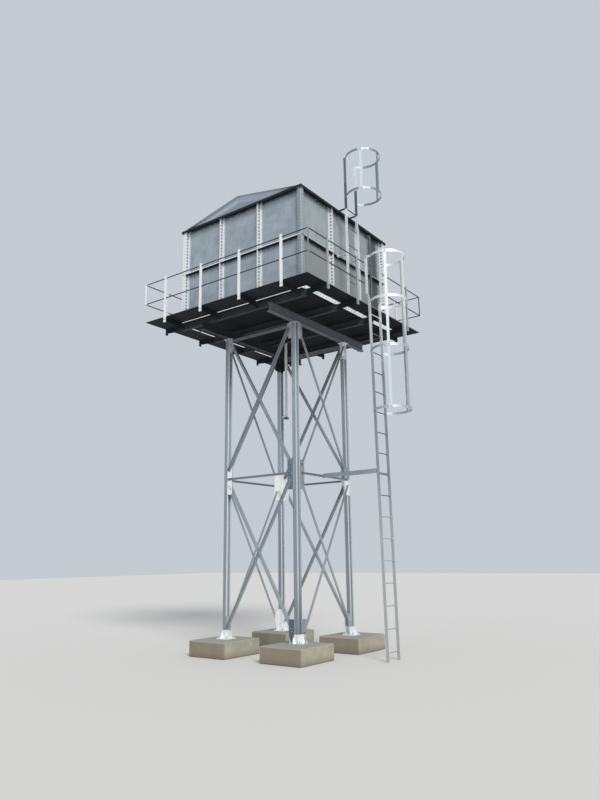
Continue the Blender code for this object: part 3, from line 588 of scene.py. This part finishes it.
def makeRoofSheet():
    # Galvanised roof sheet gone dull in the weather; on the gables painted shade darkens the sunlit
    # part low down, and painted light keeps them pale under the edge of the roof, where its shade
    # falls
    look = zincFinish("dullGalvanisedRoofSheet", "c9d0d5", "bdc4c9", "9aa1a5", 0.25, 0.2, 0.55)
    slope = addNode(look, "Math", {0: look.ax, 1: 0.2, 2: look.z}, operation="MULTIPLY_ADD")
    paintedShadeLow = addNode(look, "MapRange", {
        "Value": slope, "From Min": wallTop + 0.26, "From Max": wallTop + 0.16})
    gable = within(look, look.toFront)
    coat(look, ((0.85, gable), "c6d4e1"), ((paintedShadeLow, gable), "86949e"))
    return finish(look)


pipe = {
    "length": 1.79, "x": -0.6, "y": 0.74, "fitting": 0.03, "boltRing": 0.043,
    "head": (0.016, 0.008),
}


def makePipeZinc():
    # Galvanised pipe with painted light against the tank's shade, its flanges at the lower end dark
    # with damp
    look = zincFinish("galvanisedPipe", "f4f6f7", "e6eaec", "b4babd", 0.2, 0.0, 0.5)
    end = floorLow.z - pipe["length"]
    coat(look, (within(look, (look.z, end - 0.110, end + 0.045)), "565c58"))
    return finish(look)


def makeCageSteel():
    # Galvanised flat bar rolled to hoops: mid grey, whiter towards the top of the ground cage, and
    # smooth enough for the sun to flash on it; the tank cage is darker, but for its near strap
    look = zincFinish("rolledFlatBarHoops", "c2c9cf", "b0b8be", "8a9299", 0.2, 0.55, 0.45)
    clean = addNode(look, "MapRange", {
        "Value": look.z, "From Min": 5.6, "From Max": 6.4, "To Max": 0.9})
    nearStrap = ((look.x, 2.54, 2.66), (look.y, -0.29, -0.21), (look.z, 3.9, 6.3))
    tankCage = (look.z, wallTop + 0.1, 12.0)
    # painted light on the ground cage's near strap, between 3.9 m and 6.3 m up
    coat(
        look, (within(look, *nearStrap), "ced6dd"),
        (clean, "eef0f0"), (within(look, tankCage), "8b96a3"),
        (within(look, tankCage, (look.y, -0.52, -0.43), (look.x, 2.2, 2.3)), "c9d0d8"),
    )
    return finish(look)


def makePaintedSteel(name, base, worn, rust, edge=None, rim=None):
    # Painted rolled steel: matt and a little chalky, with rust bleeding in patches some 100 mm
    # across; edge is the pale flange edge of a girder, rim the scuffed edge of the deck and painted
    # shade under the deck on the ladder side
    look = startMaterial(name, 0.0, 0.85)
    look.shader.inputs["Specular IOR Level"].default_value = 0.2
    chalk = patches(look, 9.0, 6.0, 0.65, 0.4, 0.7)[1]
    bleed = patches(look, 22.0, 6.0, 0.7, 0.58, 0.7, 0.6)[1]
    look.colour = hexColour(base)
    coat(look, (chalk, worn), (bleed, rust))
    if edge:
        coat(look, (within(look, (look.x, -1.2, 0.0)), "33373c"),
             (within(look, look.upright, (look.z, legTop - 0.01, legTop + 0.0105)), edge))
    if rim:
        # painted shade darkens the deck's underside on the ladder side
        coat(look, (within(look, (look.x, 1.6, 2.2), look.downward), "171d21"),
             (within(look, (look.x, 2.07, 2.2), (look.z, deckTop - 0.009, deckTop + 0.001)), rim))
    grain = addNode(look, "TexNoise", {"Vector": look.place, "Scale": 220.0, "Detail": 3.0})
    return finish(look, grain, 0.25)


def makeConcrete():
    # Concrete cast in rough boards: pitted, sandy, soiled near the ground, with greenish damp
    look = startMaterial("boardCastConcrete", 0.0, 0.92)
    uneven, sandy = patches(look, 6.0, 8.0, 0.62, 0.35, 0.65)
    damp = patches(look, 3.2, 5.0, 0.7, 0.5, 0.66, 0.6)[1]
    shaded = within(look, look.toFront)
    level = addNode(look, "Math", {0: uneven, 1: 0.12, 2: look.z}, operation="MULTIPLY_ADD")
    soil = addNode(look, "MapRange", {
        "Value": level, "From Min": 0.19, "From Max": 0.05, "To Max": 0.7})
    look.colour = hexColour("aca794")
    # painted shade darkens the faces that look to the front
    coat(look, (sandy, "97917f"), ((shaded, 0.8), "837969"), ((shaded, damp), "5f6a58"),
         (within(look, look.upward), "98978f"), (soil, "6f614d"))
    pits = addNode(look, "TexVoronoi", {"Vector": look.place, "Scale": 45.0})
    depth = addNode(look, "MapRange", {"Value": pits, "From Min": 0.05, "From Max": 0.3})
    sand = addNode(look, "TexNoise", {"Vector": look.place, "Scale": 120.0, "Detail": 5.0})
    height = addNode(look, "Math", {0: depth, 1: 0.5, 2: sand}, operation="MULTIPLY_ADD")
    return finish(look, height, 0.5, 0.004)


def makeBoltZinc():
    # Zinc dipped bolts: duller and darker than the bright edges they pull together
    look = zincFinish("galvanisedBolt", "8d9294", "7d8284", "5c6062", 0.3, 0.35, 0.45)
    coat(
        look, (within(look, (look.reach, 1.5732, 1.6), (look.z, rimTop, wallTop)), "d9dddf"),
        # painted shade greys the heads at the near corner and darkens those under the top flange
        # and the middle ledge
        (within(look, (look.x, 1.45, 1.7), (look.y, -1.7, -1.45)), "99a3a9"),
        (within(look, (look.z, legFoot - 0.1, legFoot + 0.2)), "c9cccc"),
        (within(look, (look.z, wallTop - 0.03, wallTop), (look.reach, 1.5, 1.6)), "1d2225"),
        (within(look, (look.z, wallMid - 0.030, wallMid - 0.0115), (look.reach, 1.53, 1.567)),
         "24292c"),
    )
    return finish(look)


def makeBandZinc():
    # Bright zinc beside each turned edge, thinning in ragged patches to the dull sheet
    look = zincFinish("brightJointSheet", "e6eaec", "d8dcde", "a8aeb0", 0.25, 0.15, 0.5)
    along = addNode(look, "Math", {0: look.ax, 1: look.ay}, operation="MINIMUM")
    aside = besideLine(look, along)
    ragged = addNode(look, "Math", {0: look.wobble, 1: 0.06, 2: aside}, operation="MULTIPLY_ADD")
    thin = addNode(look, "MapRange", {
        "Value": ragged, "From Min": 0.080, "From Max": 0.110, "To Max": 0.8})
    root = addNode(look, "MapRange", {
        "Value": aside, "From Min": 0.020, "From Max": 0.012, "To Max": 0.6})
    # painted shade: greyer where the bands look to the ladder side, and dark in the crease at the
    # flange's root
    coat(look, (within(look, look.toRight), "cfd2d1"), (thin, "9fafbd"), (root, "5b6266"))
    return finish(look)


panelSheet = makePanelSheet()
legSteel = makeLegSteel()
railSteel = makeRailSteel()
ladderSteel = makeLadderSteel()
cageSteel = makeCageSteel()
boltZinc = makeBoltZinc()
braceSteel = makeBraceSteel()
midStrutSteel = makeMidStrutSteel()
topStrutSteel = finish(zincFinish(
    "shadedGalvanisedAngle", "84888d", "757a7f", "4f5357", 0.4, 0.3, 0.45))
roofSheet = makeRoofSheet()
pipeZinc = makePipeZinc()
overflowZinc = finish(zincFinish(
    "darkGalvanisedPipe", "585e62", "4a4f52", "33373a", 0.4, 0.2, 0.55))
bandZinc = makeBandZinc()
girderPaint = makePaintedSteel("mattDarkPaint", "64686e", "6f7277", "534941", edge="8f9196")
beamPaint = makePaintedSteel("mattDarkBeamPaint", "3c4046", "464a4e", "3d362f")
deckPaint = makePaintedSteel("darkOxidisedPlate", "1e262c", "262d31", "36382f", rim="8f8e88")
floorPaint = makePaintedSteel("tarredTankFloor", "14181b", "1a1e21", "1c1917")
edgePaint = makePaintedSteel("darkRoofTrim", "1d2529", "283136", "2e2a27")
concrete = makeConcrete()

# a node takes the finish with the longest name that its own name starts with
finishes = {
    "plinth": concrete, "leg": legSteel, "lower_bracing": braceSteel,
    "upper_bracing": braceSteel, "mid_strut": midStrutSteel, "top_strut": topStrutSteel,
    "girder": girderPaint, "cross_beam": beamPaint, "tank_floor": floorPaint,
    "tank_wall": panelSheet, "roof": roofSheet, "gable": roofSheet, "walkway": deckPaint,
    "handrail": railSteel, "ground_ladder_cage": cageSteel, "ground_ladder": ladderSteel,
    "ladder_arm": braceSteel, "tank_ladder_cage": cageSteel, "tank_ladder": ladderSteel,
    "outlet_pipe": pipeZinc, "overflow_pipe": overflowZinc,
}
for name, node in nodes.items():
    key = max((k for k in finishes if name.startswith(k)), key=len)
    for slot in node.material_slots:
        slot.material = finishes[key]
print("materials made and given to", len(nodes), "nodes")


def makeJointBands():
    # a wedge beside each upright flange, thick at the flange and thinning to the sheet, carried up
    parts = []
    out = sheetFace + np.array([0.0002, joint["proud"], 0.0015, 0.0002])
    for side, turn in sideTurns.items():
        for middle, way in flangeFaces:
            if side == "front" and middle > 1 or side == "right" and middle < -1:
                continue  # the near corner has none
            root = middle + way * joint["bandRoot"]
            edge = root + way * joint["band"]
            for low, high in tiers:
                parts.append(carriedUp(
                    [root, root, edge, edge], out, low + 0.001, high - 0.001, turn))
    buildPiece("jointBands", parts, bandZinc)


def makeCornerAngles():
    # an L carried up each corner of the tank between the ledges, closing the pocket between flanges
    outer, inner, foot = joint["cornerOuter"], joint["cornerInner"], joint["cornerFoot"]
    along = [foot, outer, outer, inner, inner, foot]
    out = [outer, outer, foot, foot, inner, inner]
    parts = [
        carriedUp(along, out, low + 0.0005, high - 0.0005, turn)
        for turn in sideTurns.values() for low, high in tiers]
    buildPiece("cornerAngles", parts, panelSheet)


def makeFlangeBolts():
    # heads at a steady pitch on both sides of the upright flanges and of the level ones, where
    # those too near an upright flange are left out
    parts = []
    span = spread(joint["levelBolts"], joint["pitch"])
    away = np.min(np.abs(span[:, None] - panelLines[None]), axis=1)
    span = span[away > joint["clear"]]
    for turn in sideTurns.values():
        for middle, way in flangeFaces:
            along = middle + way * joint["flangeHalf"]
            places = around(along, joint["boltLine"], boltLevels, turn)
            parts += hexHeads(places, facing(way, 0.0, 0.0, turn), joint["head"])
        for level, way in (
            (rimTop, 1.0), (rimTop - ledge, -1.0), (wallMid + ledge, 1.0),
            (wallMid - ledge, -1.0), (wallTop - ledge, -1.0),
        ):
            places = around(span, joint["levelBoltLine"], level, turn)
            parts += hexHeads(places, way * up, joint["head"])
    buildPiece("flangeBolts", parts, boltZinc)


def makeCornerBolts():
    # heads up the outer faces of the corner angles, small, one row each side
    parts = []
    line, out, size = joint["cornerBoltLine"], joint["cornerOuter"], joint["cornerHead"]
    for turn in sideTurns.values():
        parts += sideHeads([[-line], [line]], out, boltLevels, turn, size)
    buildPiece("cornerBolts", parts, boltZinc)


def makeRimBolts():
    # heads along the outer face of the floor rim
    parts = []
    span = spread(joint["rimBolts"], joint["rimPitch"])
    for turn in sideTurns.values():
        parts += sideHeads(span, flangeTip, wallLow.z + 0.035, turn, joint["rimHead"])
    buildPiece("rimBolts", parts, boltZinc)


makeJointBands()
makeCornerAngles()
makeFlangeBolts()
makeCornerBolts()
makeRimBolts()
print("tank joints bolted")


trim = {
    "reach": 1.5995, "thick": 0.003, "depth": 0.050,  # the turned-down edge
    "rise": 0.30, "half": 1.5, "sheet": 0.008,  # the roof that the seams lie on
    "lines": (-1.0, -0.5, 0.0, 0.5, 1.0), "seam": 0.012, "eave": 1.49,
    "ridge": 0.14, "cap": 0.005, "capThick": 0.003, "capEnd": 1.59,
}


def makeRoofLip():
    # the turned-down edge of the roof: a thin upright bar carried round a square
    top = wallTop + 0.0001
    low = top - trim["depth"]
    outer, inner = trim["reach"], trim["reach"] - trim["thick"]
    profile = ((outer, low), (outer, top), (inner, top), (inner, low))
    stops = [
        [(sx * r + axisX, sy * r, z) for r, z in profile]
        for sx, sy in ((-1, -1), (1, -1), (1, 1), (-1, 1))]
    buildPiece("roofLip", [sweep(np.array(stops), closed=True)], edgePaint)


def makeRoofSeams():
    # lap strips down each slope, their tops a fixed height above the sheet, and a folded ridge cap;
    # the sheet's top stands above its foot by its thickness along the slope's normal
    fall = trim["rise"] / trim["half"]
    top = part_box("roof")[0].z + trim["sheet"] * math.hypot(1.0, fall) + trim["rise"]
    seam = trim["seam"]
    lap = np.array([
        (-0.02, -0.001), (-0.02, 0.002), (-0.005, 0.002), (-0.004, seam), (0.004, seam),
        (0.005, 0.002), (0.02, 0.002), (0.02, -0.001)])
    parts = []
    for line in trim["lines"]:
        for way in (-1, 1):
            stops = [
                [(x * way + axisX, line + dy, top - fall * x + dz) for dy, dz in lap]
                for x in (trim["ridge"] + 0.003, trim["eave"])]
            parts.append(sweep(np.array(stops)))
    xs = np.array([-trim["ridge"], 0.0, trim["ridge"]])
    level = top - fall * np.abs(xs)
    profile = np.concatenate([
        np.stack([xs + axisX, level + trim["cap"]], 1),
        np.stack([xs + axisX, level + trim["cap"] - trim["capThick"]], 1)[::-1]])
    stops = np.stack([
        np.stack([profile[:, 0], np.full(6, y), profile[:, 1]], 1)
        for y in (-trim["capEnd"], trim["capEnd"])])
    parts.append(sweep(stops))
    buildPiece("roofSeams", parts, roofSheet)


makeRoofLip()
makeRoofSeams()
print("roof trimmed")


fasten = {
    "anchor": 0.105, "basePlate": 0.016, "stud": 0.010, "studHeight": 0.045,
    "washer": 0.022, "washerHeight": 0.004, "nut": (0.030, 0.018),
    "bead": 0.006, "beadStep": 0.012,
    "plateEdge": 0.0382, "flangeFace": 0.0498, "footFace": 0.0598, "footReach": 0.118,
    "plateLevels": ((0.16, 0.415), (2.725, 3.265), (5.655, 5.95)),
}


def studs(places, radius, low, high, sides=10):
    # round bars: a circle carried from a low to a high level, closed at both ends
    turn = np.arange(sides) * 2 * math.pi / sides
    parts = []
    for x, y in places:
        ring = np.stack([x + radius * np.cos(turn), y + radius * np.sin(turn)], -1)
        parts.append(sweep(np.stack([
            np.concatenate([ring, np.full((sides, 1), level)], 1) for level in (low, high)])))
    return parts


def makeAnchors():
    # four anchor studs through each base plate, each with its washer and nut
    plateTop = legFoot + fasten["basePlate"]
    reach, washerTop = fasten["anchor"], plateTop + fasten["washerHeight"]
    spots = [(sx * legLine + axisX + dx * reach, sy * legLine + dy * reach)
             for sx, sy in corners for dx, dy in corners]
    parts = studs(spots, fasten["stud"], plateTop - 0.002, plateTop + fasten["studHeight"])
    parts += studs(spots, fasten["washer"], plateTop - 0.001, washerTop, 16)
    parts += hexHeads([(x, y, washerTop) for x, y in spots], up, fasten["nut"])
    buildPiece("anchorNuts", parts, boltZinc)


def bead(origin, first, second, start, end):
    # a weld: a three-cornered profile carried along a line, swelling and thinning at every step
    origin, first, second, start, end = (
        np.asarray(v, float) for v in (origin, first, second, start, end))
    count = max(2, int(np.linalg.norm(end - start) / fasten["beadStep"]))
    t = np.linspace(0.0, 1.0, count)[:, None]
    size = fasten["bead"] * (1.0 + 0.18 * np.cos(np.arange(count) * math.pi))[:, None]
    line = origin + start + (end - start) * t
    return sweep(np.stack([line, line + first * size, line + second * size], 1))


def makeWelds():
    # beads where each leg's plates lap its flange and stand on the base plate
    parts = []
    for sx, sy in corners:
        spot = (sx * legLine + axisX, sy * legLine, legFoot)
        for flat, out in (((-sx, 0.0, 0.0), (0.0, sy, 0.0)), ((0.0, -sy, 0.0), (sx, 0.0, 0.0))):
            flat, out = np.array(flat), np.array(out)
            edge = flat * fasten["plateEdge"] + out * fasten["flangeFace"]
            for low, high in fasten["plateLevels"]:
                parts.append(bead(spot, -flat, out, edge + up * low, edge + up * high))
            reach, face = fasten["footReach"], out * fasten["footFace"]
            level = up * (fasten["basePlate"] - 0.0002)
            parts.append(bead(
                spot, out, up, flat * -reach + face + level, flat * reach + face + level))
    buildPiece("legWelds", parts, legSteel)


braces = {
    "levels": ((0.4803, 3.1903), (3.4703, 6.1403)),  # where the lines of each pair end
    "width": 1.55,
    "outerFace": 0.9263, "innerFace": 0.9200,
    "ends": (0.025, 0.080), "head": (0.026, 0.011),  # bolts, from the end of the line
    "strutFace": 0.9253, "strutBolts": (-0.77, -0.72, 0.72, 0.77), "strutHead": (0.022, 0.009),
}


def makeBraceBolts():
    # two heads at each end of each brace, one at each crossing, and two at each end of the struts
    parts = []
    size = braces["head"]
    for turn in sideTurns.values():
        for low, high in braces["levels"]:
            length = math.hypot(braces["width"], high - low)
            across, rise = braces["width"] / length, (high - low) / length
            middle = (low + high) / 2
            along = np.array([
                end * (length / 2 - step) for end in (-1.0, 1.0) for step in braces["ends"]])
            for way, out in ((1.0, braces["outerFace"]), (-1.0, braces["innerFace"])):
                parts += sideHeads(way * across * along, out, middle + rise * along, turn, size)
            parts += sideHeads(0.0, braces["outerFace"], middle, turn, size)
        parts += sideHeads(
            braces["strutBolts"], braces["strutFace"], midLevel, turn, braces["strutHead"])
    buildPiece("braceBolts", parts, boltZinc)


post = {
    "pair": (-0.0155, 0.0155), "drop": 0.071,
    "inside": 2.077, "nut": (0.017, 0.010), "outside": 2.1103, "head": (0.017, 0.008),
}


def makePostNuts():
    # two nuts behind each bracket's clip on every side, and heads outside on the ladder side only,
    # where the ladders already stand further out
    parts = []
    level = deckTop - post["drop"]
    span = panelLines[:, None] + np.array(post["pair"])
    for side, turn in sideTurns.items():
        parts += sideHeads(span.ravel(), post["inside"], level, turn, post["nut"], -1.0)
        if side == "right":
            own = span[[0, 1, 3]].ravel()  # the gateway leaves out the third post
            parts += sideHeads(own, post["outside"], level, turn, post["head"])
    buildPiece("postBolts", parts, boltZinc)


makeAnchors()
makeWelds()
makeBraceBolts()
makePostNuts()
print("frame fastened")


ladder = {
    "stileX": 2.1366, "middleY": 0.060, "half": 0.195, "lean": 0.095, "foot": deckTop - 0.008,
    "rungPitch": 0.388, "firstRung": 0.150, "rung": 0.0102, "collar": 0.0165, "weld": 0.006,
    "hoops": (-2.130, -0.950, 0.020, 0.930), "cageX": 2.4430, "strapAngle": 66.0,
    "hoopFace": 0.353, "strapFace": 0.3368, "strapHead": (0.017, 0.007),
    "flare": 0.080, "flareFrom": 0.050, "flareHeight": 0.120, "tabHead": (0.015, 0.006),
    "tankX": 1.8025, "tankY": -0.155, "tankHoops": (0.200, 1.060), "tankCageX": 2.1089,
    "topRung": 0.050, "clipHead": (0.015, 0.007),
}


def collars(places, side):
    # collars round the rungs: a three-cornered profile, widest at the stile and thinning towards
    # the ladder's middle, carried round a circle
    turn = np.arange(10)[:, None] * 2 * math.pi / 10
    circle = np.cos(turn) * (1.0, 0.0, 0.0) + np.sin(turn) * (0.0, 0.0, side)
    inner, outer = ladder["rung"], ladder["collar"]
    profile = ((inner, 0.0), (outer, 0.0), (inner, ladder["weld"]))
    ring = np.stack([circle * radius + (0.0, -side * step, 0.0) for radius, step in profile], 1)
    return [sweep(place + ring, closed=True) for place in places]


def makeRungWelds():
    # a collar where each rung meets each stile; the ground ladder leans evenly from its foot to
    # its top
    parts = []
    levels = np.arange(ladder["firstRung"], ladder["foot"], ladder["rungPitch"])
    lean = ladder["lean"] * (ladder["foot"] - levels) / ladder["foot"]
    tankLevels = np.arange(wallTop - ladder["topRung"], deckTop + 0.1, -ladder["rungPitch"])
    for xs, zs, middle in (
        (ladder["stileX"] + lean, levels, ladder["middleY"]),
        (np.full(len(tankLevels), ladder["tankX"]), tankLevels, ladder["tankY"]),
    ):
        for side in (-1.0, 1.0):
            y = middle + side * (ladder["half"] - 0.0052)
            places = np.stack([xs + axisX, np.full(len(zs), y), zs], 1)
            parts += collars(places, side)
    buildPiece("rungWelds", parts, ladderSteel)


def makeCageBolts():
    # a head outside each crossing of hoop and side strap, a nut inside the middle one, and two
    # heads through each hoop's tabs, which follow the stiles as they lean and flare
    parts = []
    angle = ladder["strapAngle"]
    for x, y, base, levels, ground in (
        (ladder["cageX"], ladder["middleY"], deckTop, ladder["hoops"], True),
        (ladder["tankCageX"], ladder["tankY"], wallTop, ladder["tankHoops"], False),
    ):
        for offset in levels:
            z = base + offset
            for degrees, radius, way in (
                (-angle, ladder["hoopFace"], 1.0), (angle, ladder["hoopFace"], 1.0),
                (0.0, ladder["strapFace"], -1.0),
            ):
                turn = math.radians(degrees)
                away = np.array([math.cos(turn), math.sin(turn), 0.0])
                place = np.array([x + axisX, y, z]) + away * radius
                parts += hexHeads(place, away * way, ladder["strapHead"])
            rise, stile = 0.0, ladder["tankX"]
            if ground:
                above = offset + 0.025 - ladder["flareFrom"]
                rise = min(1.0, max(0.0, above / ladder["flareHeight"]))
                lean = ladder["lean"] * max(0.0, ladder["foot"] - z) / ladder["foot"]
                stile = ladder["stileX"] + lean
            reach = ladder["half"] + ladder["flare"] * rise + 0.0113
            for side in (-1.0, 1.0):
                places = [(stile + dx + axisX, y + side * reach, z) for dx in (-0.013, 0.013)]
                parts += hexHeads(places, (0.0, side, 0.0), ladder["tabHead"])
    buildPiece("cageBolts", parts, boltZinc)


def makeClipBolts():
    # two heads through each foot of the tank ladder's clips, and four round each pipe flange
    parts = []
    for top in (wallTop, wallMid + ledge):
        for side in (-1.0, 1.0):
            y = ladder["tankY"] + side * ladder["half"]
            x = flangeTip + 0.0063 + axisX
            places = [(x, y + dy, top - 0.022) for dy in (-0.016, 0.016)]
            parts += hexHeads(places, (1.0, 0.0, 0.0), ladder["clipHead"])
    top = floorLow.z - 0.0003
    foot = top - pipe["length"]
    for quarter in range(4):
        angle = math.pi / 4 + quarter * math.pi / 2
        spot = np.array([
            pipe["x"] + axisX + pipe["boltRing"] * math.cos(angle),
            pipe["y"] + pipe["boltRing"] * math.sin(angle), 0.0])
        for level, way in (
            (foot, -1.0), (foot + pipe["fitting"], 1.0), (top - pipe["fitting"], -1.0),
        ):
            parts += hexHeads(spot + up * level, way * up, pipe["head"])
    buildPiece("clipBolts", parts, boltZinc)


makeRungWelds()
makeCageBolts()
makeClipBolts()
print("ladders and cages fastened")
